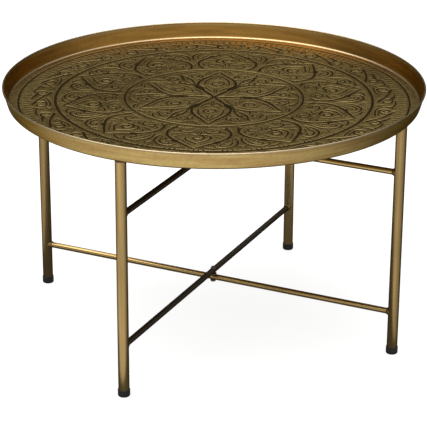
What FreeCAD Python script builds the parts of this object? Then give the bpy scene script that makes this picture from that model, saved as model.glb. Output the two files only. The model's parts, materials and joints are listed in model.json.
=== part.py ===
"""Round brass tray table: a shallow dished tray resting on a folding stand.

The stand is two H-frames that cross on the tray's centre line and pivot on two vertical bolts.
Frame A stands along X and frame B along Y. Millimetres, +Z up, origin on the floor under the centre.
"""

import FreeCAD
import Part
import math
import os

Vector = FreeCAD.Vector
UP = Vector(0, 0, 1)

# Tray
RIM_RADIUS = 350.0          # outside of the lip
TABLE_HEIGHT = 430.0        # floor to the top of the lip
TRAY_DEPTH = 29.0           # underside of the tray to the top of the lip
CORNER_RADIUS = 341.0       # where the lines of wall and floor meet, at mid-sheet
SHEET = 1.2                 # sheet thickness
CORNER_FILLET = 6.0         # outside bend between floor and wall
LIP_RADIUS = 1.5            # rolled lip

# Stand
LEG_CIRCLE = 331.0          # stand axis to each leg's axis
LEG_RADIUS = 9.0
LEG_WALL = 1.2
BAR_RADIUS = 5.0
LOWER_BAR_A = 75.0          # height of frame A's lower bar axis
UPPER_BAR_A = 322.0
BAR_STEP = 12.0             # frame B's bars lie this far inside frame A's

# Weld fillets between bar and leg
WELD_REACH = 8.0            # radius of the fillet's wide end
WELD_START = 5.0            # wide end, measured in from the leg's axis
WELD_LENGTH = 7.0

# Rubber foot caps and leg-top plugs
CAP_WALL = 1.0
CAP_HEIGHT = 12.0
CAP_FLOOR = 3.0
CAP_EDGE = 2.5              # rounding of the cap's bottom edge
CAP_LIP = 0.5               # rounding of the cap's top edge
PLUG_FLANGE = 2.0
PLUG_STEM = 12.0
PLUG_EDGE = 0.5
SLIP_FIT = 0.05             # gap between a tube and what is pushed on or into it

# Pivot hardware
BOLT_RADIUS = 2.5
BORE_GAP = 0.1              # radial clearance of the bolt in the bars
RUNNING_GAP = 0.3           # between parts of the two frames that turn past each other
HEAD_RADIUS = 4.75
HEAD_HEIGHT = 2.75
SOCKET_ACROSS_FLATS = 3.0
SOCKET_DEPTH = 1.5
NUT_ACROSS_FLATS = 8.0
NUT_HEIGHT = 2.4            # thin nut
WASHER_RADIUS = 5.0
WASHER_THICKNESS = 0.8
SPACER_RADIUS = 6.0
BOLT_TAIL = 0.6             # thread showing past the nut

HEXAGON = 6                 # sides of the socket and nut
SAME_HEIGHT = 1e-4          # heights closer than this are one

TRAY_BOTTOM = TABLE_HEIGHT - TRAY_DEPTH
LEG_TOP = TRAY_BOTTOM - PLUG_FLANGE
LOWER_BAR_B = LOWER_BAR_A + BAR_STEP
UPPER_BAR_B = UPPER_BAR_A - BAR_STEP
SPACER_THICKNESS = BAR_STEP - 2 * BAR_RADIUS - RUNNING_GAP
BORE_RADIUS = BOLT_RADIUS + BORE_GAP

FRAMES = {
    "a": {"direction": Vector(1, 0, 0), "ends": ("left", "right"), "bars": (LOWER_BAR_A, UPPER_BAR_A)},
    "b": {"direction": Vector(0, 1, 0), "ends": ("front", "back"), "bars": (LOWER_BAR_B, UPPER_BAR_B)},
}


def cylinder(radius, height, base=Vector(0, 0, 0), axis=UP):
    return Part.makeCylinder(radius, height, base, axis)


def prism(across_flats, height, base_z):
    """Hexagonal prism standing on base_z."""
    corner = across_flats / math.sqrt(3)
    angles = [2 * math.pi * i / HEXAGON for i in range(HEXAGON + 1)]
    points = [Vector(corner * math.cos(a), corner * math.sin(a), base_z) for a in angles]
    return Part.Face(Part.makePolygon(points)).extrude(Vector(0, 0, height))


def edges_at(shape, z):
    """The circular edges of a shape that lie at one height."""
    return [e for e in shape.Edges if max(abs(e.BoundBox.ZMin - z), abs(e.BoundBox.ZMax - z)) < SAME_HEIGHT]


def bend(corner, before, after, radius):
    """Start, middle and end of the arc that rounds the corner between two neighbouring points."""
    to_before = (before - corner).normalize()
    to_after = (after - corner).normalize()
    half_angle = to_before.getAngle(to_after) / 2
    setback = radius / math.tan(half_angle)
    bisector = (to_before + to_after).normalize()
    middle = corner + bisector * (radius / math.sin(half_angle) - radius)
    return corner + to_before * setback, middle, corner + to_after * setback


def sheet_side(offset):
    """Half-section line of one side of the sheet, offset from its middle towards the inside."""
    lip_centre = Vector(RIM_RADIUS - LIP_RADIUS, 0, TABLE_HEIGHT - LIP_RADIUS)
    middle_corner = Vector(CORNER_RADIUS, 0, TRAY_BOTTOM + SHEET / 2)
    along_wall = (lip_centre - middle_corner).normalize()
    inward = Vector(-along_wall.z, 0, along_wall.x)
    height = TRAY_BOTTOM + SHEET / 2 + offset
    corner = Vector(CORNER_RADIUS - offset * (1 - along_wall.x) / along_wall.z, 0, height)
    return Vector(0, 0, height), corner, lip_centre + inward * offset


def make_tray():
    """Spun sheet: flat floor, sloping wall and a rolled lip, turned from one half section."""
    low_axis, low_corner, outer_top = sheet_side(-SHEET / 2)
    high_axis, high_corner, inner_top = sheet_side(SHEET / 2)
    outer = bend(low_corner, low_axis, outer_top, CORNER_FILLET)
    inner = bend(high_corner, inner_top, high_axis, CORNER_FILLET - SHEET)
    section = Part.Wire([
        Part.makeLine(low_axis, outer[0]),
        Part.Arc(*outer).toShape(),
        Part.makeLine(outer[2], outer_top),
        Part.makeLine(outer_top, inner_top),
        Part.makeLine(inner_top, inner[0]),
        Part.Arc(*inner).toShape(),
        Part.makeLine(inner[2], high_axis),
        Part.makeLine(high_axis, low_axis),
    ])
    dish = Part.Face(section).revolve(Vector(0, 0, 0), UP, 360)
    lip = Part.makeTorus(RIM_RADIUS - LIP_RADIUS, LIP_RADIUS, UP * (TABLE_HEIGHT - LIP_RADIUS))
    return dish.fuse(lip).removeSplitter()


def make_leg(foot):
    """Round tube from inside the foot cap to the plug's flange."""
    base = foot + UP * CAP_FLOOR
    length = LEG_TOP - CAP_FLOOR
    return cylinder(LEG_RADIUS, length, base).cut(cylinder(LEG_RADIUS - LEG_WALL, length, base))


def leg_blank(foot):
    """The space a leg takes, for coping what meets it."""
    return cylinder(LEG_RADIUS, LEG_TOP, foot)


def make_bar(direction, height):
    """Round bar between two legs, coped to their walls and drilled for the pivot bolt."""
    start = direction * -LEG_CIRCLE + UP * height
    bar = cylinder(BAR_RADIUS, 2 * LEG_CIRCLE, start, direction)
    for side in (-1, 1):
        bar = bar.cut(leg_blank(direction * side * LEG_CIRCLE))
    drill = cylinder(BORE_RADIUS, 4 * BAR_RADIUS, UP * (height - 2 * BAR_RADIUS))
    return bar.cut(drill)


def make_weld(direction, side, height):
    """Fillet ring where a bar meets a leg."""
    outward = direction * side
    wide_end = outward * (LEG_CIRCLE - WELD_START) + UP * height
    bead = Part.makeCone(WELD_REACH, BAR_RADIUS, WELD_LENGTH, wide_end, outward * -1)
    bar = cylinder(BAR_RADIUS, LEG_CIRCLE, UP * height, outward)
    return bead.cut(bar).cut(leg_blank(outward * LEG_CIRCLE))


def make_foot_cap(foot):
    """Rubber cup pushed over the end of a leg."""
    cap = cylinder(LEG_RADIUS + CAP_WALL, CAP_HEIGHT, foot)
    cap = cap.makeFillet(CAP_EDGE, edges_at(cap, 0))
    cap = cap.makeFillet(CAP_LIP, edges_at(cap, CAP_HEIGHT))
    return cap.cut(cylinder(LEG_RADIUS + SLIP_FIT, CAP_HEIGHT, foot + UP * CAP_FLOOR))


def make_leg_plug(foot):
    """Plug in the open top of a leg; the tray rests on its flange."""
    flange = cylinder(LEG_RADIUS, PLUG_FLANGE, foot + UP * LEG_TOP)
    flange = flange.makeFillet(PLUG_EDGE, edges_at(flange, TRAY_BOTTOM))
    stem_radius = LEG_RADIUS - LEG_WALL - SLIP_FIT
    return flange.fuse(cylinder(stem_radius, PLUG_STEM, foot + UP * (LEG_TOP - PLUG_STEM))).removeSplitter()


def ring(outer_radius, thickness, base_z):
    """Flat washer or spacer round the pivot bolt."""
    blank = cylinder(outer_radius, thickness, UP * base_z)
    return blank.cut(cylinder(BORE_RADIUS, thickness, UP * base_z))


def make_bolt(seat_z, tail_z):
    """Button-head bolt: the head sits at seat_z and the thread ends at tail_z."""
    sphere_radius = (HEAD_RADIUS ** 2 + HEAD_HEIGHT ** 2) / (2 * HEAD_HEIGHT)
    dome = Part.makeSphere(sphere_radius, UP * (seat_z + HEAD_HEIGHT - sphere_radius))
    head = dome.common(cylinder(HEAD_RADIUS, HEAD_HEIGHT, UP * seat_z))
    shank = cylinder(BOLT_RADIUS, seat_z - tail_z, UP * tail_z)
    socket = prism(SOCKET_ACROSS_FLATS, SOCKET_DEPTH, seat_z + HEAD_HEIGHT - SOCKET_DEPTH)
    return head.fuse(shank).removeSplitter().cut(socket)


def make_nut(base_z):
    """Hexagon nut with chamfered corners, clear of the bolt by the same gap as the bores."""
    corner = NUT_ACROSS_FLATS / math.sqrt(3)
    blank = prism(NUT_ACROSS_FLATS, NUT_HEIGHT, base_z)
    chamfer = Part.makeCone(NUT_ACROSS_FLATS / 2, corner + NUT_HEIGHT / 2, NUT_HEIGHT, UP * base_z)
    return blank.common(chamfer).cut(cylinder(BORE_RADIUS, NUT_HEIGHT, UP * base_z))


def pivot_hardware(name, low_bar, high_bar, gap_over, gap_under):
    """Bolt, spacer, washer and nut of one crossing.

    gap_over is left between the head and the upper bar, and gap_under between the lower bar and the washer.
    The spacer lies against the bar of frame A, which is the lower bar where gap_under is zero.
    """
    seat = high_bar + BAR_RADIUS + gap_over
    washer_top = low_bar - BAR_RADIUS - gap_under
    nut_base = washer_top - WASHER_THICKNESS - NUT_HEIGHT
    spacer_base = low_bar + BAR_RADIUS + gap_under
    return {
        name + "_pivot_bolt": make_bolt(seat, nut_base - BOLT_TAIL),
        name + "_pivot_spacer": ring(SPACER_RADIUS, SPACER_THICKNESS, spacer_base),
        name + "_pivot_washer": ring(WASHER_RADIUS, WASHER_THICKNESS, washer_top - WASHER_THICKNESS),
        name + "_pivot_nut": make_nut(nut_base),
    }


def make_frame(letter, direction, ends, bars):
    """One H-frame: two legs, two bars, their welds, foot caps and leg plugs."""
    nodes = {}
    for side, end in zip((-1, 1), ends):
        foot = direction * side * LEG_CIRCLE
        suffix = letter + "_" + end
        nodes["leg_" + suffix] = make_leg(foot)
        nodes["foot_cap_" + suffix] = make_foot_cap(foot)
        nodes["leg_plug_" + suffix] = make_leg_plug(foot)
    for place, height in zip(("lower", "upper"), bars):
        nodes[place + "_bar_" + letter] = make_bar(direction, height)
    welds = [make_weld(direction, side, height) for side in (-1, 1) for height in bars]
    nodes["welds_frame_" + letter] = Part.makeCompound(welds)
    return nodes


def main():
    nodes = {"tray": make_tray()}
    for letter, frame in FRAMES.items():
        nodes.update(make_frame(letter, **frame))
    nodes.update(pivot_hardware("lower", LOWER_BAR_A, LOWER_BAR_B, RUNNING_GAP, 0.0))
    nodes.update(pivot_hardware("upper", UPPER_BAR_B, UPPER_BAR_A, 0.0, RUNNING_GAP))
    os.makedirs("parts", exist_ok=True)
    for name, shape in nodes.items():
        shape.exportStep(os.path.join("parts", name + ".step"))
        print(name, "valid" if shape.isValid() else "INVALID", len(shape.Solids), round(shape.Volume, 1))


main()
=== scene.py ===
import json
import math
import bmesh
import bpy
import numpy as np
from mathutils import Matrix, Vector
from mathutils.geometry import delaunay_2d_cdt
from mathutils.kdtree import KDTree


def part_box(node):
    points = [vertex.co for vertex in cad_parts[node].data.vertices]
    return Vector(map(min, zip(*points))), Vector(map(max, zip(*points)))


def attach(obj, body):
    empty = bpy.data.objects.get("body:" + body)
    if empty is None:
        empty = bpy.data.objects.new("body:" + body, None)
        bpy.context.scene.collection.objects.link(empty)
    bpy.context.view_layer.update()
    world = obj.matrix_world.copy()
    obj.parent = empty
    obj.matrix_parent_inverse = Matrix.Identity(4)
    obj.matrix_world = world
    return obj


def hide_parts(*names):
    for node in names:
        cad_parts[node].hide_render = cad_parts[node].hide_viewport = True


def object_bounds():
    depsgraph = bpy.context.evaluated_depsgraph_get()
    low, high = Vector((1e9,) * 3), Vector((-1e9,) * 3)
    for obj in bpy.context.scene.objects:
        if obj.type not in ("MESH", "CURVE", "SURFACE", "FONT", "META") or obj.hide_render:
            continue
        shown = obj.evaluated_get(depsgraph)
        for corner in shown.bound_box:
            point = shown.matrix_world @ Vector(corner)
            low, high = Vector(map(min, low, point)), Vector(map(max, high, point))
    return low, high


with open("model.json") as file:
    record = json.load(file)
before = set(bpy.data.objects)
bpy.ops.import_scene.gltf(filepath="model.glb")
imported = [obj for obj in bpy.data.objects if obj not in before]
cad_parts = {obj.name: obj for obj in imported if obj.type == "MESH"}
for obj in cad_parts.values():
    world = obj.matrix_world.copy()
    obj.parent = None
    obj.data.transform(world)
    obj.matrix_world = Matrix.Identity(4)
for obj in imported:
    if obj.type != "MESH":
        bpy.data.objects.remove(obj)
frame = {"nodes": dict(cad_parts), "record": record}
cad_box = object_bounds()

# Looks of the round brass tray table. Sizes are millimetres unless a name says otherwise, and pieces are
# scaled to metres when they are made. Angles are degrees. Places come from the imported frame.

MM = 0.001
TINY = 1e-6

# Camera and stage
CAMERA_AZIMUTH = 25.26
CAMERA_DISTANCE = 2.9307        # metres, level distance from the stand's axis
CAMERA_HEIGHT = 1.3813          # metres
CAMERA_PITCH = 22.08
CAMERA_ROLL = 0.28
CAMERA_LENS = 156.27
SENSOR = 36.0
FLOOR_SIZE = 60.0               # metres
FLOOR_GLOW = 0.84
# dark card under the table, seen only in reflections: painted shade for the shadowed floor
CARD_RADIUS = 0.45              # metres
CARD_PLACE = (-0.05, 0.05, 0.001)
SHADOW_CARD_GLOW = 0.15
CARD_STEPS = 96
SUN_PLACE = (-0.25, -0.2, 1.0)  # towards the sun
SUN_SPREAD = 70
SUN_POWER = 2.0

# Tray sheet
SHEET = 1.2
CORNER_RADIUS = 341.0           # where the lines of wall and floor meet, at mid-sheet
CORNER_FILLET = 6.0
LIP_RADIUS = 1.5
RIM_STEPS = 300
BEND_STEPS = 8
LIP_STEPS = 20
WALL_SHARES = (0.25, 0.5, 0.75) # rows between a bend and the lip
UNDER_ROWS = (300.0, 200.0, 100.0, 30.0)
INNER_ROWS = 11                 # rows of the section on the inner side of the wall
BEND_ROWS = (1, 5)              # rows of the inner bend, lightened as painted highlight with some wear
LIP_ROWS = (13, 31)             # rows of the lip, lightened as painted highlight with some wear
INNER_FLOOR = 336.9             # radius where the floor starts to bend up
FLOOR_FINISH = (0.4024, 0.4045) # metres, heights over which the floor's finish gives way to the wall's

# Engraving
HEARTS = 10
PETALS = 6
SCROLLS = 16
PETAL_AXIS = -68.8              # direction of the first petal
SCROLL_AXIS = 10.7
ROW_STEP = 2.7                  # spacing of the mesh rows along a groove
BROAD_ROWS = (0.5, 1.0)         # mesh rows beside the middle of a wide groove, in half widths
SLIGHT_ROWS = (0.75,)
GROOVE_DEPTH = 0.95             # deepest groove
DEPTH_PER_HALF_WIDTH = 0.40
PILLOW_HEIGHT = 0.3             # swell of the sheet between grooves
PILLOW_REACH = 5.0              # distance from a groove over which the swell rises
PILLOW_END = 325.0              # the swell fades out from here to the floor's edge
MERGE = 0.6                     # points of the mesh closer than this are one
FILL_STEP = 5.0                 # spacing of the mesh on plain stretches
FILL_GAP = 5.5                  # they start this far from a groove's middle
EDGE_GAP = 1.5                  # free of grooves along the floor's edge
WIDE = 3.6                      # half widths of the grooves
MEDIUM = 2.7
THIN = 2.1
FINE = 1.4
SHOULDER = 1.35                 # reach of a groove's rounded shoulder, in half widths
PATINA_CORE = 0.65              # share of a groove's half width that is fully dark

# Stand
LEG_CIRCLE = 331.0
LEG_RADIUS = 9.0
LEG_WALL = 1.2
TUBE_EDGE = 0.3                 # rounding of a tube's ends
TUBE_MARGIN = 5.0               # plain rows start this far from the ends
TUBE_ROWS = 12
BAR_RADIUS = 5.0
BAR_ROWS = 40
LATHE_STEPS = 64
SHARP = 50                      # edges steeper than this stay crisp
WELD_STEPS = 132
WELD_ROWS = 7
WELD_TOE = 3.0                  # reach of a bead along its bar
WELD_RISE = 1.3                 # reach up the leg
WELD_SIDE = 2.6                 # reach round the leg
WELD_SWELL = 0.25
WELD_RIPPLE = 0.14
WELD_RIPPLES = 22
WELD_WANDER = 1.3               # unevenness of the ripples, in radians
WELD_BITE = 0.1                 # reach into the leg and the bar

# Foot caps and leg plugs. Sections are (distance inwards, height) rows.
SLIP_FIT = 0.05                 # gap between a tube and what is pushed on or into it
CAP_EDGE = 2.5                  # rounding of the bottom edge
CAP_LIP = 0.45                  # rounding of the top edge
CAP_FLOOR = 3.0
CAP_ROOT = 0.4                  # chamfer between bore and floor
CAP_MOUTH = (0.1, 0.2)          # chamfer of the bore's mouth, outwards and down
CAP_ROWS = (5.0, 6.0)           # plain rows of the outside and the bore
CAP_CREASE = ((0, 8.0), (0.25, 8.6), (0.3, 9.0), (0.25, 9.4), (0, 10.0))
TREAD_RADII = (2.0, 4.5)        # grooves in the sole
TREAD = ((0, 0), (0.3, 0.5), (0.9, 0.5), (1.2, 0))
PLUG_FLANGE = 2.0
PLUG_NOSE = ((1.6, 0), (0.9, 1.2))
PLUG_RIBS = (3.0, 6.0, 9.0)     # heights over the plug's end
PLUG_RIB = ((0.6, -0.6), (0, 0), (0, 0.6), (0.6, 1.0))
PLUG_NECK = 0.3
PLUG_CHAMFER = 0.2
PLUG_EDGE = 0.5
PLUG_DIMPLE = ((2.0, 0), (1.6, 0.3), (0, 0.3))  # radius, depth

# Pivot hardware
BOLT_RADIUS = 2.5
BORE_RADIUS = 2.6
HEAD_RADIUS = 4.75
HEAD_HEIGHT = 2.75
HEAD_CHAMFER = 0.25
HEAD_ROUND = 1.5                # degrees of the head's dome cut off above its chamfer
HEAD_STEPS = 9
SOCKET_ACROSS_FLATS = 3.0
SOCKET = 1.7                    # marks the socket's rows in the bolt's section
SOCKET_BRIM = 1.95
SOCKET_ROWS = (0.35, 0.8, 1.5)  # depths, the last is the socket's floor
SOCKET_TIP = (0.6, 0.3)         # radius and depth of the drilled tip
THREAD_PITCH = 0.8
THREAD_DEPTH = 0.45
THREAD_LENGTH = 6.0
THREAD_RUNOUT = 0.5
THREAD_ROWS = 6                 # mesh rows a turn
THREAD_START = 0.3
THREAD_MARK = BOLT_RADIUS - 0.001  # marks the thread's rows in the bolt's section
TAIL_CHAMFER = 0.6
NUT_ACROSS_FLATS = 8.0
NUT_CHAMFER = 0.4               # at the ends of the bore
NUT_BEVEL = (0, 0.15, 0.3, 0.42)   # heights of the outer bevel's rows
NUT_BEVEL_SLOPE = 1.7
NUT_BEVEL_START = 0.1           # the bevel starts this far inside the flats
NUT_SIDE = NUT_ACROSS_FLATS / 2 - 0.2   # rows further out than this are on the hexagon
NUT_CORNER_GAP = 0.05
RING_EDGES = 5                  # a ring's edge rounding goes into its thickness this many times

# Linear colours. Light and dark ends of each finish.
WALL_TONES = ((0.56, 0.405, 0.150, 1), (0.43, 0.265, 0.095, 1))
FLOOR_TONES = ((0.53, 0.395, 0.165, 1), (0.32, 0.24, 0.105, 1))
# inner wall: deeper orange brass, painted bounce light from the brass floor and walls
INNER_BOUNCE_TONES = ((0.50, 0.268, 0.058, 1), (0.36, 0.19, 0.042, 1))
# lip and inner bend: paler brass, painted highlight with some wear
WORN_HIGHLIGHT_TONE = (0.52, 0.41, 0.255, 1)
SPECK_TONE = (0.20, 0.13, 0.05, 1)
PATINA_TONE = (0.030, 0.020, 0.008, 1)
TUBE_TONES = ((0.47, 0.32, 0.13), (0.40, 0.275, 0.11))
TUBE_STREAK = (0.22, 0.14, 0.055)
# grey that frame B's bars are mixed towards: painted shade for the dark things they reflect
PAINTED_SHADE_GREY = 0.19
WELD_TONES = ((0.28, 0.19, 0.08, 1), (0.16, 0.1, 0.05, 1))
BOLT_TONES = ((0.34, 0.28, 0.19, 1), (0.20, 0.16, 0.11, 1))
PLUG_TONES = ((0.13, 0.085, 0.035, 1), (0.09, 0.06, 0.026, 1))
RUBBER_TONES = ((0.005, 0.005, 0.005, 1), (0.011, 0.011, 0.010, 1))
PAPER_TONES = ((0.28, 0.28, 0.279, 1), (0.26, 0.26, 0.259, 1))
WHITE = (1, 1, 1, 1)

RIM = cad_box[1].x / MM


# ---------------------------------------------------------------- mesh helpers

def piece(name, vertices, faces, body, node, material):
    """A smooth-shaded mesh from millimetres, riding on its body in place of its CAD node."""
    mesh = bpy.data.meshes.new(name)
    mesh.from_pydata([tuple(c * MM for c in v) for v in vertices], [], faces)
    shape = bmesh.new()
    shape.from_mesh(mesh)
    if shape.calc_volume(signed=True) < 0:
        bmesh.ops.reverse_faces(shape, faces=shape.faces)
    shape.to_mesh(mesh)
    shape.free()
    mesh.polygons.foreach_set("use_smooth", [True] * len(mesh.polygons))
    mesh.set_sharp_from_angle(angle=math.radians(SHARP))
    mesh.materials.append(material)
    made = bpy.data.objects.new(name, mesh)
    bpy.context.scene.collection.objects.link(made)
    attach(made, body)
    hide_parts(node)
    return made


def arc(centre, radius, start, end, steps):
    """Points of an arc in a half section, angles in degrees."""
    angles = [math.radians(start + (end - start) * i / steps) for i in range(steps + 1)]
    return [(centre[0] + radius * math.cos(a), centre[1] + radius * math.sin(a)) for a in angles]


def lathe(profile, closed, reach=None, steps=LATHE_STEPS):
    """Turns a half section (radius, height) about Z. A closed section is a ring, an open one has its ends
    on the axis. reach gives the radius at an angle where the section isn't round."""
    vertices = []
    rings = []
    for radius, height in profile:
        if radius < TINY:
            rings.append([len(vertices)])
            vertices.append((0.0, 0.0, height))
        else:
            rings.append(list(range(len(vertices), len(vertices) + steps)))
            for i in range(steps):
                a = 2 * math.pi * i / steps
                r = reach(radius, height, a) if reach else radius
                vertices.append((r * math.cos(a), r * math.sin(a), height))
    faces = []
    pairs = list(zip(rings, rings[1:]))
    if closed:
        pairs.append((rings[-1], rings[0]))
    for low, high in pairs:
        for i in range(steps):
            j = (i + 1) % steps
            if len(low) == 1:
                faces.append((low[0], high[j], high[i]))
            elif len(high) == 1:
                faces.append((low[i], low[j], high[0]))
            else:
                faces.append((low[i], low[j], high[j], high[i]))
    return vertices, faces


def moved(vertices, x=0.0, y=0.0, z=0.0):
    return [(v[0] + x, v[1] + y, v[2] + z) for v in vertices]


def hexagon(across_flats, angle):
    """Radius of a hexagon's side at an angle."""
    sector = math.pi / 3
    return across_flats / 2 / math.cos((angle + sector / 2) % sector - sector / 2)


# ---------------------------------------------------------------- engraving

def polar(share, degrees):
    """Point at a share of the rim radius and an angle from the motif's axis."""
    a = math.radians(degrees)
    return np.array([share * RIM * math.cos(a), share * RIM * math.sin(a)])


def turned(points, degrees):
    a = math.radians(degrees)
    rotation = np.array([[math.cos(a), math.sin(a)], [-math.sin(a), math.cos(a)]])
    return np.asarray(points) @ rotation


def resampled(curve, step):
    """The same line with points at even steps."""
    run = np.concatenate([[0], np.cumsum(np.hypot(*np.diff(curve, axis=0).T))])
    count = max(2, int(round(run[-1] / step)) + 1)
    at = np.linspace(0, run[-1], count)
    return np.stack([np.interp(at, run, curve[:, 0]), np.interp(at, run, curve[:, 1])], 1)


def smooth(points, substeps=12):
    """Catmull-Rom curve through the points."""
    p = np.asarray(points, float)
    p = np.vstack([2 * p[0] - p[1], p, 2 * p[-1] - p[-2]])
    t = np.linspace(0, 1, substeps, endpoint=False)[:, None]
    spans = []
    for a, b, c, d in zip(p, p[1:], p[2:], p[3:]):
        bend = (2 * a - 5 * b + 4 * c - d) * t ** 2 + (3 * b - a - 3 * c + d) * t ** 3
        spans.append(0.5 * (2 * b + (c - a) * t + bend))
    return np.vstack(spans + [p[-2:-1]])


def spiral(centre, inner, outer, end_degrees, turns, hand=1):
    """Spiral from the inside out that ends at end_degrees. hand 1 runs anticlockwise."""
    t = np.linspace(0, 1, 28)
    a = math.radians(end_degrees) - hand * (1 - t) * turns * 2 * math.pi
    r = inner + (outer - inner) * t
    return centre + np.stack([r * np.cos(a), r * np.sin(a)], 1)


def circle(share):
    a = np.linspace(0, 2 * math.pi, 240)
    return share * RIM * np.stack([np.cos(a), np.sin(a)], 1)


def through(*places):
    """Smooth line through (share, degrees) places."""
    return smooth([polar(*place) for place in places])


def mirrored(strokes):
    """The strokes and their mirror images in the motif's axis."""
    return strokes + [(line * [1, -1], width, taper) for line, width, taper in strokes]


def heart():
    """One heart: outline, two small curls in its lobes and a large one under its tip."""
    sides = mirrored([
        (through((0.716, 0.3), (0.69, 2.7), (0.66, 5.7), (0.625, 9.6), (0.585, 13.4), (0.545, 15.4),
                 (0.505, 15.9), (0.472, 14.4), (0.456, 11.8)), WIDE, 0.55),
        (through((0.474, 1.6), (0.505, 3.3), (0.519, 6.6), (0.508, 10.2), (0.487, 10.4), (0.48, 8.0),
                 (0.492, 6.3), (0.499, 7.8)), THIN, 0.7),
        (through((0.556, 12.3), (0.541, 9.4), (0.541, 6.9)), THIN, 0.4),
        (through((0.585, 10.2), (0.566, 8.6)), THIN, 0.4),
        (through((0.615, 6.4), (0.645, 4.2), (0.672, 1.5)), FINE, 0.4),
        (through((0.462, 5.6), (0.466, 9.2), (0.478, 12.2)), FINE, 0.4),
        (through((0.53, 13.0), (0.512, 12.9), (0.497, 12.2)), FINE, 0.4),
        (through((0.532, 0.8), (0.518, 1.2), (0.50, 0.6)), THIN, 0.4),
        (through((0.60, 8.2), (0.622, 6.8)), FINE, 0.4),
    ])
    eye = spiral(polar(0.578, 0), 3.0, 13.0, -150, 1.35)
    tail = [polar(0.545, 0.5), polar(0.543, 3.6), polar(0.566, 6.0), polar(0.6, 5.2), polar(0.632, 2.4),
            polar(0.655, 0.0)]
    left = through((0.585, -5.4), (0.61, -4.6), (0.634, -2.2), (0.655, 0.0))
    return sides + [(smooth(np.vstack([eye[::3], tail])), MEDIUM, 0.55), (left, THIN, 0.5)]


def heart_gap():
    """Between two hearts: a mirrored pair of hooked leaves with a curl in each."""
    return mirrored([
        (through((0.583, 1.5), (0.62, 0.9), (0.665, 1.7), (0.698, 4.2), (0.711, 7.2), (0.701, 9.9),
                 (0.68, 10.6)), MEDIUM, 0.5),
        (through((0.632, 3.3), (0.664, 3.9), (0.688, 6.5), (0.677, 8.4), (0.662, 7.4), (0.668, 6.2)),
         THIN, 0.5),
        (through((0.61, 4.6), (0.64, 6.2)), THIN, 0.4),
        (through((0.598, 2.6), (0.622, 3.0)), FINE, 0.4),
        (through((0.652, 6.4), (0.641, 8.4), (0.655, 10.0)), THIN, 0.4),
        (through((0.622, 9.0), (0.634, 10.6)), FINE, 0.4),
        (through((0.72, 9.4), (0.716, 12.4), (0.70, 14.4)), THIN, 0.4),
        (through((0.69, 12.4), (0.674, 13.2)), FINE, 0.4),
        (through((0.716, 0.0), (0.69, 1.2)), FINE, 0.4),
        (through((0.442, 3.2), (0.462, 3.4), (0.48, 1.9)), THIN, 0.4),
    ])


def petal():
    """One petal of the middle: outline, inner leaf line and a spiral eye."""
    return mirrored([
        (smooth([(3, 0.6), (24, 13), (46, 27), (67, 32), (90, 27), (112, 14), (135, 1)]), WIDE, 0.55),
        (smooth([(64, 21), (86, 19), (104, 10), (118, 1)]), THIN, 0.5),
        (smooth([(28, 5), (40, 13), (52, 19)]), THIN, 0.5),
        (smooth([(96, 4), (104, 3), (112, 0.5)]), FINE, 0.5),
        (smooth([(46, 3), (50, 10), (56, 15)]), FINE, 0.5),
        (smooth([(20, 1), (32, 2), (44, 1)]), FINE, 0.5),
    ]) + [(spiral(np.array([72.0, 0.0]), 2.5, 14.5, 20, 1.6), THIN, 0.5)]


def petal_gap():
    """Between two petals: a leaf, and a pair of curls under the inner ring."""
    return mirrored([
        (through((0.215, 0.6), (0.25, 2.6), (0.30, 3.4), (0.345, 1.0), (0.375, -0.2)), MEDIUM, 0.5),
        (spiral(polar(0.335, 9.2), 2.2, 10.5, -60, 1.5, -1), THIN, 0.5),
        (through((0.255, 12.0), (0.285, 10.2), (0.298, 6.8)), THIN, 0.5),
        (through((0.37, 15.5), (0.395, 11.5), (0.402, 6.0)), THIN, 0.4),
        (through((0.12, 3.0), (0.16, 5.0), (0.2, 1.5)), THIN, 0.4),
        (through((0.40, 1.4), (0.402, 4.6)), FINE, 0.4),
        (through((0.285, 1.0), (0.325, 1.2)), FINE, 0.4),
        (through((0.385, 20.5), (0.40, 24.0), (0.408, 27.5)), THIN, 0.4),
        (through((0.36, 18.6), (0.375, 21.6), (0.388, 25.4)), FINE, 0.4),
        (through((0.30, 15.2), (0.33, 15.8), (0.355, 14.2)), THIN, 0.4),
        (through((0.245, 9.4), (0.262, 7.0)), FINE, 0.4),
    ])


def scroll():
    """One S-scroll of the outer band, with leaf marks above and below its stem."""
    top = spiral(polar(0.823, 0.6), 3.0, 14.5, 0, 1.45)
    low = spiral(polar(0.818, -11.6), 3.0, 14.0, 180, 1.45)[::-1]
    stem = smooth(np.vstack([top[::3], [polar(0.826, -5.6)], low[::3]]))
    return [
        (stem, MEDIUM, 0.5),
        (through((0.845, -10.2), (0.857, -7.2), (0.866, -4.8)), THIN, 0.4),
        (through((0.795, -5.6), (0.782, -2.8), (0.776, 0.6), (0.784, 3.2)), THIN, 0.4),
        (through((0.853, -16.4), (0.861, -13.8), (0.858, -11.2)), THIN, 0.4),
        (through((0.862, 6.2), (0.845, 4.9), (0.822, 5.0)), THIN, 0.4),
        (through((0.775, -18.0), (0.784, -16.2), (0.8, -15.9)), FINE, 0.4),
        (through((0.81, -4.8), (0.797, -2.6), (0.792, -0.2)), FINE, 0.4),
        (through((0.838, -9.4), (0.848, -7.2)), FINE, 0.4),
        (through((0.80, 4.4), (0.788, 5.4)), THIN, 0.4),
        (through((0.866, -17.8), (0.855, -18.6), (0.842, -17.6)), THIN, 0.4),
    ]


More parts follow.
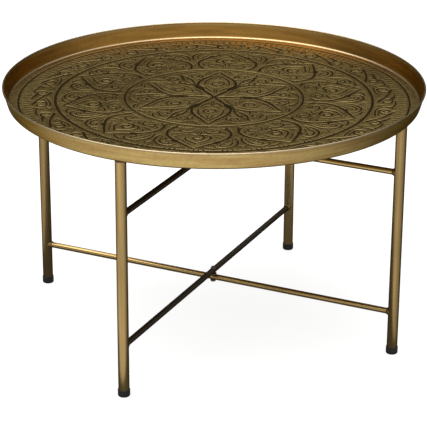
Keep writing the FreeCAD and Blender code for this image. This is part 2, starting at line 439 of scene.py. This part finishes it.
def engraving():
    """Every groove of the tray as (line, half width, taper)."""
    strokes = [(circle(0.424), MEDIUM, 0), (circle(0.752), WIDE, 0), (circle(0.926), MEDIUM, 0)]
    rows = [
        (heart, HEARTS, 0.0),
        (heart_gap, HEARTS, 180 / HEARTS),
        (petal, PETALS, PETAL_AXIS),
        (petal_gap, PETALS, PETAL_AXIS + 180 / PETALS),
        (scroll, SCROLLS, SCROLL_AXIS),
    ]
    for motif, count, axis in rows:
        made = motif()
        for k in range(count):
            strokes += [(turned(line, axis + k * 360 / count), width, taper) for line, width, taper in made]
    for count, near, far in ((180, 0.873, 0.903), (216, 0.727, 0.738)):
        for k in range(count):
            a = k * 360 / count
            strokes.append((np.array([polar(near, a), polar(far, a)]), FINE, 0.5))
    return strokes


class Grooves:
    """Distance from any point to the nearest groove of one width class."""

    def __init__(self, strokes):
        self.points = []
        self.tangents = []
        self.halves = []
        for line, half, taper in strokes:
            at = resampled(line, ROW_STEP)
            along = np.gradient(at, axis=0)
            share = np.linspace(-1, 1, len(at))
            self.points.append(at)
            self.tangents.append(along / np.hypot(along[:, 0], along[:, 1])[:, None])
            self.halves.append(half * (1 - taper * share ** 4))
        self.points = np.vstack(self.points)
        self.tangents = np.vstack(self.tangents)
        self.halves = np.concatenate(self.halves)
        self.tree = KDTree(len(self.points))
        for i, (x, y) in enumerate(self.points):
            self.tree.insert((x, y, 0), i)
        self.tree.balance()

    def rows(self, shares):
        """Mesh points across every groove, at shares of its half width."""
        normals = np.stack([-self.tangents[:, 1], self.tangents[:, 0]], 1)
        rows = [self.points]
        for side in (-1, 1):
            rows += [self.points + normals * (side * s * self.halves)[:, None] for s in shares]
        return np.vstack(rows)

    def nearest(self, places):
        """Distance to the nearest groove's middle line, and its half width there."""
        index = np.array([self.tree.find((x, y, 0))[1] for x, y in places])
        offset = places - self.points[index]
        along = (offset * self.tangents[index]).sum(1)
        across = offset[:, 0] * self.tangents[index][:, 1] - offset[:, 1] * self.tangents[index][:, 0]
        past = np.maximum(0, np.abs(along) - ROW_STEP / 2)
        return np.hypot(across, past), self.halves[index]


def merged(places):
    """The places with near doubles left out."""
    _, keep = np.unique(np.round(places / MERGE).astype(int), axis=0, return_index=True)
    return places[np.sort(keep)]


def filler():
    """Loose hexagonal net of points for the plain stretches."""
    reach = int(INNER_FLOOR / FILL_STEP) + 1
    net = [
        ((i + 0.5 * (j % 2)) * FILL_STEP, j * FILL_STEP * math.sin(math.pi / 3))
        for i in range(-reach, reach + 1) for j in range(-reach - 6, reach + 7)
    ]
    return np.array(net)


def relief(places, classes):
    """Height of the worked sheet over its plain level, and how far each place lies down a groove."""
    gap = np.full(len(places), 1e9)
    down = np.zeros(len(places))
    share = np.zeros(len(places))
    for grooves in classes:
        distance, half = grooves.nearest(places)
        gap = np.minimum(gap, distance - SHOULDER * half)
        inside = 0.5 + 0.5 * np.cos(math.pi * np.clip(distance / half / SHOULDER, 0, 1))
        depth = np.minimum(GROOVE_DEPTH, DEPTH_PER_HALF_WIDTH * half) * inside
        down = np.maximum(down, depth)
        share = np.maximum(share, np.clip((half - distance) / (half * (1 - PATINA_CORE)), 0, 1))
    radius = np.hypot(places[:, 0], places[:, 1])
    fade = np.clip((INNER_FLOOR - radius) / (INNER_FLOOR - PILLOW_END), 0, 1)
    swell = PILLOW_HEIGHT * (1 - np.exp(-np.maximum(gap, 0) / PILLOW_REACH)) * fade
    return np.where(down > TINY, -down, swell), share


def engraved_floor(height):
    """Top of the tray's floor as a triangle mesh, its rim points first, and the patina of each point."""
    strokes = engraving()
    broad = Grooves([s for s in strokes if s[1] >= MEDIUM])
    slight = Grooves([s for s in strokes if s[1] < MEDIUM])
    rows = [broad.rows(BROAD_ROWS + (SHOULDER,)), slight.rows(SLIGHT_ROWS + (SHOULDER,))]
    far = filler()
    distance = np.minimum(broad.nearest(far)[0], slight.nearest(far)[0])
    places = merged(np.vstack(rows + [far[distance > FILL_GAP]]))
    places = places[np.hypot(places[:, 0], places[:, 1]) < INNER_FLOOR - EDGE_GAP]
    angles = np.arange(RIM_STEPS) * 2 * math.pi / RIM_STEPS
    rim = INNER_FLOOR * np.stack([np.cos(angles), np.sin(angles)], 1)
    places = np.vstack([rim, places])
    rise, patina = relief(places, (broad, slight))
    rise[:RIM_STEPS] = 0
    patina[:RIM_STEPS] = 0
    flat, _, faces, *_ = delaunay_2d_cdt([Vector(p) for p in places], [], [], 0, 1e-5, False)
    vertices = [(p[0], p[1], height + r) for p, r in zip(flat, rise)]
    return vertices, [tuple(f) for f in faces], list(patina)


def tray_wall_section(top, bottom):
    """Half section from the floor's edge over the lip to the middle of the underside."""
    lip_centre = np.array([RIM - LIP_RADIUS, top - LIP_RADIUS])
    middle_corner = np.array([CORNER_RADIUS, bottom + SHEET / 2])
    along = (lip_centre - middle_corner) / np.hypot(*(lip_centre - middle_corner))
    lean = math.degrees(math.atan2(along[1], along[0]))
    setback = math.tan(math.radians(lean / 2))

    def side(offset, radius):
        level = bottom + SHEET / 2 + offset
        corner = CORNER_RADIUS - offset * (1 - along[0]) / along[1]
        start = corner - radius * setback
        return arc((start, level + radius), radius, -90, lean - 90, BEND_STEPS)

    inner = side(SHEET / 2, CORNER_FILLET - SHEET)
    outer = side(-SHEET / 2, CORNER_FILLET)
    half_angle = math.degrees(math.asin(SHEET / 2 / LIP_RADIUS))
    lip = arc(lip_centre, LIP_RADIUS, lean + 180 - half_angle, lean - 180 + half_angle, LIP_STEPS)
    inner_wall = [tuple(np.array(inner[-1]) * (1 - t) + np.array(lip[0]) * t) for t in WALL_SHARES]
    outer_wall = [tuple(np.array(lip[-1]) * (1 - t) + np.array(outer[-1]) * t) for t in WALL_SHARES]
    under = [(r, bottom) for r in UNDER_ROWS]
    return inner + inner_wall + lip + outer_wall + outer[::-1] + under


def make_tray(material):
    """The spun tray: engraved floor, wall, rolled lip and plain underside in one closed sheet."""
    low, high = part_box("tray")
    bottom = low.z / MM
    top = high.z / MM
    vertices, faces, patina = engraved_floor(bottom + SHEET)
    section = tray_wall_section(top, bottom)
    ring = list(range(RIM_STEPS))
    for radius, height in section[1:]:
        following = list(range(len(vertices), len(vertices) + RIM_STEPS))
        for i in range(RIM_STEPS):
            a = 2 * math.pi * i / RIM_STEPS
            vertices.append((radius * math.cos(a), radius * math.sin(a), height))
        for i in range(RIM_STEPS):
            j = (i + 1) % RIM_STEPS
            faces.append((ring[j], ring[i], following[i], following[j]))
        ring = following
    vertices.append((0.0, 0.0, bottom))
    faces += [(ring[(i + 1) % RIM_STEPS], ring[i], len(vertices) - 1) for i in range(RIM_STEPS)]
    made = piece("engraved_tray", vertices, faces, "tray_top", "tray", material)
    first = len(patina)
    bend = range(first + BEND_ROWS[0] * RIM_STEPS, first + BEND_ROWS[1] * RIM_STEPS)
    lip = range(first + LIP_ROWS[0] * RIM_STEPS, first + LIP_ROWS[1] * RIM_STEPS)
    inner_wall = range(first, first + INNER_ROWS * RIM_STEPS)
    everywhere = range(len(vertices))
    layers = {
        "patina": patina + [0.0] * (len(vertices) - first),
        # inner wall rows: painted bounce colour
        "inside": [1.0 if i in inner_wall else 0.0 for i in everywhere],
        # lip and inner bend rows: painted highlight with some wear
        "wear": [1.0 if i in lip or i in bend else 0.0 for i in everywhere],
    }
    for name, values in layers.items():
        made.data.attributes.new(name, "FLOAT", "POINT").data.foreach_set("value", values)
    return made


# ---------------------------------------------------------------- stand

def centre_of(node):
    """Middle, lowest and highest corner of a CAD node."""
    low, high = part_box(node)
    middle = (low + high) / 2 / MM
    return middle, low / MM, high / MM


def make_leg(node, body, material):
    """Tube with rounded ends."""
    middle, low, high = centre_of(node)
    inner = LEG_RADIUS - LEG_WALL
    edge = TUBE_EDGE
    heights = np.linspace(low.z + TUBE_MARGIN, high.z - TUBE_MARGIN, TUBE_ROWS)
    outside = arc((LEG_RADIUS - edge, low.z + edge), edge, -90, 0, 3)
    outside += [(LEG_RADIUS, h) for h in heights]
    outside += arc((LEG_RADIUS - edge, high.z - edge), edge, 0, 90, 3)
    inside = arc((inner + edge, high.z - edge), edge, 90, 180, 3)
    inside += arc((inner + edge, low.z + edge), edge, 180, 270, 3)
    vertices, faces = lathe(outside + inside, True)
    vertices = moved(vertices, middle.x, middle.y)
    return piece(node + "_tube", vertices, faces, body, node, material)


def make_bar(node, body, axis, material):
    """Round bar coped to the walls of its two legs and drilled for the pivot bolt."""
    height = centre_of(node)[0].z
    vertices = []
    for i in range(BAR_ROWS + 1):
        for k in range(LATHE_STEPS):
            a = 2 * math.pi * k / LATHE_STEPS
            across = BAR_RADIUS * math.cos(a)
            reach = LEG_CIRCLE - math.sqrt(LEG_RADIUS ** 2 - across ** 2)
            along = reach * (2 * i / BAR_ROWS - 1)
            spot = (along, across) if axis == "x" else (-across, along)
            vertices.append((spot[0], spot[1], height + BAR_RADIUS * math.sin(a)))
    faces = []
    for i in range(BAR_ROWS):
        for k in range(LATHE_STEPS):
            m = (k + 1) % LATHE_STEPS
            row = i * LATHE_STEPS
            following = row + LATHE_STEPS
            faces.append((row + k, row + m, following + m, following + k))
    faces.append(tuple(reversed(range(LATHE_STEPS))))
    faces.append(tuple(range(BAR_ROWS * LATHE_STEPS, (BAR_ROWS + 1) * LATHE_STEPS)))
    made = piece(node + "_rod", vertices, faces, body, node, material)
    drill(made, height)
    return made


def drill(rod, height):
    """Cuts the pivot's bore through a rod."""
    ends = (height - 2 * BAR_RADIUS, height + 2 * BAR_RADIUS)
    profile = [(0, ends[0]), (BORE_RADIUS, ends[0]), (BORE_RADIUS, ends[1]), (0, ends[1])]
    vertices, faces = lathe(profile, False)
    mesh = bpy.data.meshes.new("drill")
    mesh.from_pydata([tuple(c * MM for c in v) for v in vertices], [], faces)
    tool = bpy.data.objects.new("drill", mesh)
    bpy.context.scene.collection.objects.link(tool)
    cut = rod.modifiers.new("bore", "BOOLEAN")
    cut.operation = "DIFFERENCE"
    cut.solver = "EXACT"
    cut.object = tool
    drilled = bpy.data.meshes.new_from_object(rod.evaluated_get(bpy.context.evaluated_depsgraph_get()))
    rod.modifiers.clear()
    rod.data = drilled
    bpy.data.objects.remove(tool)
    drilled.polygons.foreach_set("use_smooth", [True] * len(drilled.polygons))
    drilled.set_sharp_from_angle(angle=math.radians(SHARP))


def make_welds(node, body, bars, axis, material):
    """Rippled fillet beads where a frame's two bars meet its legs."""
    vertices = []
    faces = []
    for side in (-1, 1):
        for bar in bars:
            height = centre_of(bar)[0].z
            first = len(vertices)
            for k in range(WELD_STEPS):
                a = 2 * math.pi * k / WELD_STEPS
                rows = weld_section(a)
                for along, radius in rows:
                    across = radius * math.cos(a)
                    spot = (side * along, across) if axis == "x" else (across, side * along)
                    vertices.append((spot[0], spot[1], height + radius * math.sin(a)))
            count = len(rows)
            for k in range(WELD_STEPS):
                here = first + k * count
                there = first + (k + 1) % WELD_STEPS * count
                for i in range(count):
                    j = (i + 1) % count
                    side_face = (here + i, here + j, there + j, there + i)
                    faces.append(side_face if side > 0 else side_face[::-1])
    return piece(node + "_beads", vertices, faces, body, node, material)


def weld_section(angle):
    """Closed section of a bead at an angle round its bar, as (distance from the stand's axis, radius)."""
    toe = LEG_CIRCLE - LEG_RADIUS - WELD_TOE
    wide = BAR_RADIUS + WELD_RISE + (WELD_SIDE - WELD_RISE) * math.cos(angle) ** 2
    ripple = WELD_RIPPLE * math.cos(WELD_RIPPLES * angle + WELD_WANDER * math.sin(3 * angle))
    rows = []
    for t in np.linspace(0, 1, WELD_ROWS):
        radius = BAR_RADIUS + (wide - BAR_RADIUS) * t
        wall = LEG_CIRCLE - math.sqrt(LEG_RADIUS ** 2 - (radius * math.cos(angle)) ** 2)
        swell = (WELD_SWELL + ripple) * math.sin(math.pi * t)
        rows.append((toe + (wall - toe) * t - swell, radius + swell * 0.5))
    deep = LEG_CIRCLE - math.sqrt(LEG_RADIUS ** 2 - (BAR_RADIUS * math.cos(angle)) ** 2)
    root = BAR_RADIUS - WELD_BITE
    return rows + [(deep + WELD_BITE, wide - 2 * WELD_BITE), (deep, root), (toe + 5 * WELD_BITE, root)]


def make_foot_cap(node, body, material):
    """Moulded cup with a rounded foot, a crease under its lip and ring grooves in its sole."""
    middle, low, high = centre_of(node)
    outer = high.x - middle.x
    bore = LEG_RADIUS + SLIP_FIT
    row, bore_row = CAP_ROWS
    profile = [(0, 0)] + [(r + d, h) for r in TREAD_RADII for d, h in TREAD]
    profile += arc((outer - CAP_EDGE, CAP_EDGE), CAP_EDGE, -90, 0, 8)
    profile += [(outer, row)] + [(outer - d, h) for d, h in CAP_CREASE]
    profile += arc((outer - CAP_LIP, high.z - CAP_LIP), CAP_LIP, 0, 90, 4)
    profile += [(bore + CAP_MOUTH[0], high.z), (bore, high.z - CAP_MOUTH[1]), (bore, bore_row)]
    profile += [(bore, CAP_FLOOR + CAP_ROOT), (bore - CAP_ROOT, CAP_FLOOR), (0, CAP_FLOOR)]
    vertices, faces = lathe(profile, False)
    vertices = moved(vertices, middle.x, middle.y)
    return piece(node + "_cup", vertices, faces, body, node, material)


def make_leg_plug(node, body, material):
    """Ribbed push-in plug with a rounded flange."""
    middle, low, high = centre_of(node)
    stem = LEG_RADIUS - LEG_WALL - SLIP_FIT
    seat = high.z - PLUG_FLANGE
    profile = [(0, low.z)] + [(stem - d, low.z + h) for d, h in PLUG_NOSE]
    profile += [(stem - d, low.z + rib + h) for rib in PLUG_RIBS for d, h in PLUG_RIB]
    profile += [(stem - PLUG_NECK, seat), (LEG_RADIUS - PLUG_CHAMFER, seat)]
    profile += [(LEG_RADIUS, seat + PLUG_CHAMFER)]
    profile += arc((LEG_RADIUS - PLUG_EDGE, high.z - PLUG_EDGE), PLUG_EDGE, 0, 90, 5)
    profile += [(r, high.z - d) for r, d in PLUG_DIMPLE]
    vertices, faces = lathe(profile, False)
    vertices = moved(vertices, middle.x, middle.y)
    return piece(node + "_insert", vertices, faces, body, node, material)


def make_bolt(node, body, material):
    """Button-head bolt with a hexagon socket and a cut thread."""
    _, low, high = centre_of(node)
    seat = high.z - HEAD_HEIGHT
    sphere = (HEAD_RADIUS ** 2 + HEAD_HEIGHT ** 2) / (2 * HEAD_HEIGHT)
    edge = math.degrees(math.asin((seat - high.z + sphere) / sphere))
    brim = math.degrees(math.acos(SOCKET_BRIM / sphere))
    thread_top = low.z + THREAD_LENGTH
    turns = np.arange(low.z + THREAD_START, thread_top, THREAD_PITCH / THREAD_ROWS)
    tip_radius, tip_depth = SOCKET_TIP
    deep = high.z - SOCKET_ROWS[-1]
    profile = [(0, low.z), (BOLT_RADIUS - TAIL_CHAMFER, low.z)] + [(THREAD_MARK, h) for h in turns]
    profile += [(BOLT_RADIUS, thread_top + THREAD_RUNOUT), (BOLT_RADIUS, seat)]
    profile += [(HEAD_RADIUS - HEAD_CHAMFER, seat)]
    profile += arc((0, high.z - sphere), sphere, edge + HEAD_ROUND, brim, HEAD_STEPS)
    profile += [(SOCKET, high.z - depth) for depth in SOCKET_ROWS]
    profile += [(tip_radius, deep), (0, deep - tip_depth)]

    def reach(radius, height, angle):
        if radius == SOCKET:
            return hexagon(SOCKET_ACROSS_FLATS, angle)
        if height < thread_top and radius == THREAD_MARK:
            phase = (height / THREAD_PITCH - angle / (2 * math.pi)) % 1
            return BOLT_RADIUS - THREAD_DEPTH * abs(2 * phase - 1)
        return radius

    vertices, faces = lathe(profile, False, reach)
    return piece(node + "_screw", vertices, faces, body, node, material)


def make_nut(node, body, material):
    """Hexagon nut, chamfered at both faces and at its bore."""
    _, low, high = centre_of(node)
    flats = NUT_ACROSS_FLATS
    corner = flats / math.sqrt(3)
    mouth = BORE_RADIUS + NUT_CHAMFER
    rim = [(flats / 2 - NUT_BEVEL_START + NUT_BEVEL_SLOPE * t, low.z + t) for t in NUT_BEVEL]
    top = [(r, low.z + high.z - h) for r, h in reversed(rim)]
    profile = [(mouth, low.z)] + rim + top + [(mouth, high.z)]
    profile += [(BORE_RADIUS, high.z - NUT_CHAMFER), (BORE_RADIUS, low.z + NUT_CHAMFER)]

    def reach(radius, height, angle):
        if radius > NUT_SIDE:
            return min(hexagon(flats, angle), radius if radius < corner - NUT_CORNER_GAP else corner)
        return radius

    vertices, faces = lathe(profile, True, reach)
    return piece(node + "_hexagon", vertices, faces, body, node, material)


def make_ring(node, body, material):
    """Washer or spacer with rounded edges."""
    middle, low, high = centre_of(node)
    outer = high.x - middle.x
    edge = (high.z - low.z) / RING_EDGES
    bore = BORE_RADIUS
    profile = arc((outer - edge, low.z + edge), edge, -90, 0, 4)
    profile += arc((outer - edge, high.z - edge), edge, 0, 90, 4)
    profile += arc((bore + edge, high.z - edge), edge, 90, 180, 4)
    profile += arc((bore + edge, low.z + edge), edge, 180, 270, 4)
    vertices, faces = lathe(profile, True)
    return piece(node + "_ring", vertices, faces, body, node, material)


# ---------------------------------------------------------------- materials

class Nodes:
    """Short calls for building one material."""

    def __init__(self, name):
        self.material = bpy.data.materials.new(name)
        self.material.use_nodes = True
        self.tree = self.material.node_tree
        self.shader = next(n for n in self.tree.nodes if n.type == "BSDF_PRINCIPLED")
        self.coordinates = self.tree.nodes.new("ShaderNodeTexCoord").outputs["Object"]

    def put(self, target, value):
        if isinstance(value, bpy.types.NodeSocket):
            self.tree.links.new(value, target)
        else:
            target.default_value = value

    def add(self, kind, inputs, output=0, **settings):
        node = self.tree.nodes.new("ShaderNode" + kind)
        for key, value in settings.items():
            setattr(node, key, value)
        for key, value in inputs.items():
            self.put(node.inputs[key], value)
        return node.outputs[output]

    def noise(self, scale, detail, vector=None):
        where = vector or self.coordinates
        return self.add("TexNoise", {"Vector": where, "Scale": scale, "Detail": detail})

    def stretched(self, scale):
        return self.add("Mapping", {"Vector": self.coordinates, "Scale": scale})

    def ranged(self, value, low, high, to_low, to_high):
        return self.add("MapRange", {0: value, 1: low, 2: high, 3: to_low, 4: to_high})

    def mixed(self, factor, first, second):
        node = self.tree.nodes.new("ShaderNodeMix")
        node.data_type = "RGBA"
        for key, value in ((0, factor), (6, first), (7, second)):
            self.put(node.inputs[key], value)
        return node.outputs[2]

    def set(self, **values):
        for key, value in values.items():
            self.put(self.shader.inputs[key.replace("_", " ")], value)

    def bump(self, height, distance, strength):
        normal = self.add("Bump", {"Height": height, "Distance": distance, "Strength": strength})
        self.put(self.shader.inputs["Normal"], normal)


def tray_brass():
    """Antiqued brass: warm sheet with cloudy tarnish and dark patina down in the grooves."""
    n = Nodes("tray_brass")
    clouds = n.noise(4.0, 5.0)
    grain = n.noise(160.0, 3.0)
    smears = n.noise(1.0, 4.0, n.stretched((11.0, 11.0, 150.0)))
    height = n.add("SeparateXYZ", {0: n.coordinates}, 2)
    plain = n.ranged(height, *FLOOR_FINISH, 1.0, 0.0)
    streaked = n.ranged(smears, 0.35, 0.65, 0, 1)
    bright = n.mixed(streaked, *WALL_TONES)
    worked = n.mixed(n.ranged(clouds, 0.35, 0.65, 0, 1), *FLOOR_TONES)
    # Deeper orange brass on the inner side of the same sheet: painted bounce light between the brass walls
    # and floor.
    inner = n.add("Attribute", {}, 2, attribute_name="inside")
    deep = n.mixed(streaked, *INNER_BOUNCE_TONES)
    tone = n.mixed(inner, n.mixed(plain, bright, worked), deep)
    # Paler brass on the lip and the inner bend: painted highlight lines, with some wear.
    wear = n.add("Attribute", {}, 2, attribute_name="wear")
    worn_and_highlit = n.mixed(wear, tone, WORN_HIGHLIGHT_TONE)
    fine = n.mixed(n.ranged(grain, 0.4, 0.8, 0, 0.2), worn_and_highlit, SPECK_TONE)
    depth = n.add("Attribute", {}, 2, attribute_name="patina")
    mask = n.ranged(depth, 0.1, 0.8, 0, 1)
    n.set(Base_Color=n.mixed(mask, fine, PATINA_TONE))
    n.set(Metallic=n.ranged(mask, 0, 1, 1.0, 0.8), Specular_IOR_Level=0.1)
    n.set(Roughness=n.ranged(mask, 0, 1, n.ranged(grain, 0.3, 0.7, 0.27, 0.37), 0.6))
    n.set(Specular_Tint=(0.35, 0.30, 0.22, 1))
    n.bump(grain, 0.0001, 0.2)
    return n.material


def frame_brass(name, axis, painted_shading, shade_greying=0.0, polish=0.0):
    """Brass finish streaked along the axis its tube was drawn in. Each tube gets its own brightness,
    painted light and shade for what that tube reflects, and may be greyed as more painted shade; polish
    makes it shinier."""
    grey = PAINTED_SHADE_GREY * shade_greying
    keep = (1 - shade_greying) * painted_shading
    light, dark = (tuple(grey + keep * c for c in tone) + (1,) for tone in TUBE_TONES)
    streak = tuple(0.5 * grey + (1 - shade_greying) * c for c in TUBE_STREAK) + (1,)
    n = Nodes("frame_brass_" + name)
    along = tuple(6.0 if a == axis else 260.0 for a in "xyz")
    clouds = n.noise(9.0, 4.0)
    streaks = n.noise(1.0, 3.0, n.stretched(along))
    grain = n.noise(300.0, 3.0)
    tone = n.mixed(n.ranged(clouds, 0.35, 0.65, 0, 1), light, dark)
    n.set(Base_Color=n.mixed(n.ranged(streaks, 0.3, 0.75, 0, 0.6), tone, streak), Metallic=1.0)
    n.set(Roughness=n.ranged(streaks, 0.3, 0.7, 0.22 - polish, 0.34 - polish))
    n.set(Specular_Tint=(0.12, 0.1, 0.08, 1))
    n.bump(grain, 0.0001, 0.1)
    return n.material


def plain_material(name, tones, metallic, roughness, scale):
    """Two-tone grained finish for the small parts."""
    n = Nodes(name)
    grain = n.noise(scale, 4.0)
    n.set(Base_Color=n.mixed(n.ranged(grain, 0.3, 0.7, 0, 1), *tones), Metallic=metallic)
    n.set(Roughness=n.ranged(grain, 0.3, 0.7, roughness, roughness + 0.15))
    n.bump(grain, 0.0001, 0.5)
    return n.material


# ---------------------------------------------------------------- stage

def add_floor():
    """Pale paper ground that gives off some light and stays out of reflections."""
    bpy.ops.mesh.primitive_plane_add(size=FLOOR_SIZE)
    floor = bpy.context.object
    floor.name = "floor"
    n = Nodes("floor_paper")
    cloud = n.noise(1.5, 2.0)
    n.set(Base_Color=n.mixed(n.ranged(cloud, 0.3, 0.7, 0, 1), *PAPER_TONES))
    n.set(Roughness=0.9, Specular_IOR_Level=0.0, Emission_Color=WHITE, Emission_Strength=FLOOR_GLOW)
    floor.data.materials.append(n.material)
    floor.visible_glossy = False


def add_shadow_card():
    """Dark card under the table, seen only in its reflections: painted shade standing in for the shadowed
    floor under the tray, with a faint grey glow.
    """
    bpy.ops.mesh.primitive_circle_add(
        radius=CARD_RADIUS, vertices=CARD_STEPS, fill_type="NGON", location=CARD_PLACE
    )
    shadow_card = bpy.context.object
    shadow_card.name = "shadow_card"
    n = Nodes("shadow_card")
    n.set(Base_Color=(0, 0, 0, 1), Roughness=1.0, Specular_IOR_Level=0.0)
    n.set(Emission_Color=WHITE, Emission_Strength=SHADOW_CARD_GLOW)
    shadow_card.data.materials.append(n.material)
    shadow_card.visible_camera = False
    shadow_card.visible_diffuse = False
    shadow_card.visible_shadow = False


def add_sun():
    """Broad key light from overhead, leaning to the left and the front."""
    light = bpy.data.lights.new("key", "SUN")
    light.angle = math.radians(SUN_SPREAD)
    light.energy = SUN_POWER
    holder = bpy.data.objects.new("key", light)
    bpy.context.scene.collection.objects.link(holder)
    holder.rotation_euler = Vector(SUN_PLACE).to_track_quat("Z", "Y").to_euler()


def add_world():
    """Soft studio surround. Below the horizon it is pale in front and dim behind, and above it brightens
    overhead."""
    world = bpy.data.worlds.new("studio")
    bpy.context.scene.world = world
    world.use_nodes = True
    tree = world.node_tree
    background = next(n for n in tree.nodes if n.type == "BACKGROUND")
    coordinates = tree.nodes.new("ShaderNodeTexCoord")

    def along(direction, low, high, to_low, to_high):
        """Light that goes from to_low to_high as the share along the direction goes from low to high."""
        dot = tree.nodes.new("ShaderNodeVectorMath")
        dot.operation = "DOT_PRODUCT"
        tree.links.new(coordinates.outputs["Generated"], dot.inputs[0])
        dot.inputs[1].default_value = direction
        span = tree.nodes.new("ShaderNodeMapRange")
        span.interpolation_type = "SMOOTHSTEP"
        tree.links.new(dot.outputs["Value"], span.inputs[0])
        for i, value in enumerate((low, high, to_low, to_high), 1):
            span.inputs[i].default_value = value
        return span.outputs[0]

    def total(first, second):
        added = tree.nodes.new("ShaderNodeMath")
        tree.links.new(first, added.inputs[0])
        tree.links.new(second, added.inputs[1])
        return added.outputs[0]

    low = along((0.05, -1.0, 0.0), -0.9, 0.95, 0.13, 1.12)
    sky = along((0.0, 0.0, 1.0), 0.5, 0.93, 0.13, 1.5)
    ahead = along((0.6, -0.8, 0.0), -0.2, 0.75, 0.0, 0.42)
    high = total(sky, ahead)
    above = along((0.0, 0.0, 1.0), -0.1, 0.12, 0.0, 1.0)
    blend = tree.nodes.new("ShaderNodeMix")
    tree.links.new(above, blend.inputs[0])
    tree.links.new(low, blend.inputs[2])
    tree.links.new(high, blend.inputs[3])
    tree.links.new(blend.outputs[0], background.inputs["Strength"])
    background.inputs["Color"].default_value = WHITE


def add_camera():
    """Long lens in front of the table, to the right of frame B and above the tray."""
    turn = math.radians(CAMERA_AZIMUTH)
    pitch = math.radians(CAMERA_PITCH)
    roll = math.radians(CAMERA_ROLL)
    flat = math.cos(pitch)
    forward = Vector((-math.sin(turn) * flat, math.cos(turn) * flat, -math.sin(pitch)))
    level = Vector((math.cos(turn), math.sin(turn), 0))
    right = level * math.cos(roll) + level.cross(forward) * math.sin(roll)
    up = right.cross(forward)
    data = bpy.data.cameras.new("camera")
    data.lens = CAMERA_LENS
    data.sensor_width = SENSOR
    camera = bpy.data.objects.new("camera", data)
    bpy.context.scene.collection.objects.link(camera)
    place = Vector((CAMERA_DISTANCE * math.sin(turn), -CAMERA_DISTANCE * math.cos(turn), CAMERA_HEIGHT))
    camera.matrix_world = Matrix.Translation(place) @ Matrix((right, up, -forward)).transposed().to_4x4()
    bpy.context.scene.camera = camera


bodies = frame["record"]["behaviour"]["bodies"]
body_of = {node: body for body, nodes in bodies.items() for node in nodes}
finish = {
    "tray_brass": tray_brass(),
    # The legs' and bars' brightness factors and the greying of frame B's bars are painted light and shade:
    # each tube is lightened or darkened for what it reflects, the darkest ones for the shaded floor under
    # the tray and the tray's dark underside.
    "leg_a_left": frame_brass("leg_a_left", "z", 0.66),
    "leg_a_right": frame_brass("leg_a_right", "z", 0.78),
    "leg_b_front": frame_brass("leg_b_front", "z", 1.0),
    "leg_b_back": frame_brass("leg_b_back", "z", 1.2),
    "bars_a": frame_brass("bars_a", "x", 1.3, polish=0.07),
    "bars_b": frame_brass("bars_b", "y", 0.5, shade_greying=0.6),
    "weld_metal": plain_material("weld_metal", WELD_TONES, 1.0, 0.4, 300),
    "bolt_steel": plain_material("bolt_steel", BOLT_TONES, 1.0, 0.3, 400),
    "plug_plastic": plain_material("plug_plastic", PLUG_TONES, 0.0, 0.4, 500),
    "foot_rubber": plain_material("foot_rubber", RUBBER_TONES, 0.0, 0.38, 500),
}
make_tray(finish["tray_brass"])
for node in frame["nodes"]:
    body = body_of[node]
    axis = "x" if node.endswith("_a") else "y"
    if node.startswith("leg_plug"):
        make_leg_plug(node, body, finish["plug_plastic"])
    elif node.startswith("leg_"):
        make_leg(node, body, finish[node])
    elif node.startswith("foot_cap"):
        make_foot_cap(node, body, finish["foot_rubber"])
    elif "_bar_" in node:
        make_bar(node, body, axis, finish["bars_" + node[-1]])
    elif node.startswith("welds"):
        bars = ["lower_bar_" + node[-1], "upper_bar_" + node[-1]]
        make_welds(node, body, bars, axis, finish["weld_metal"])
    elif node.endswith("bolt"):
        make_bolt(node, body, finish["bolt_steel"])
    elif node.endswith("nut"):
        make_nut(node, body, finish["bolt_steel"])
    elif node.endswith("washer"):
        make_ring(node, body, finish["bolt_steel"])
    elif node.endswith("spacer"):
        make_ring(node, body, finish["plug_plastic"])

add_floor()
add_shadow_card()
add_world()
add_sun()
add_camera()
bpy.context.scene.view_settings.view_transform = "Standard"
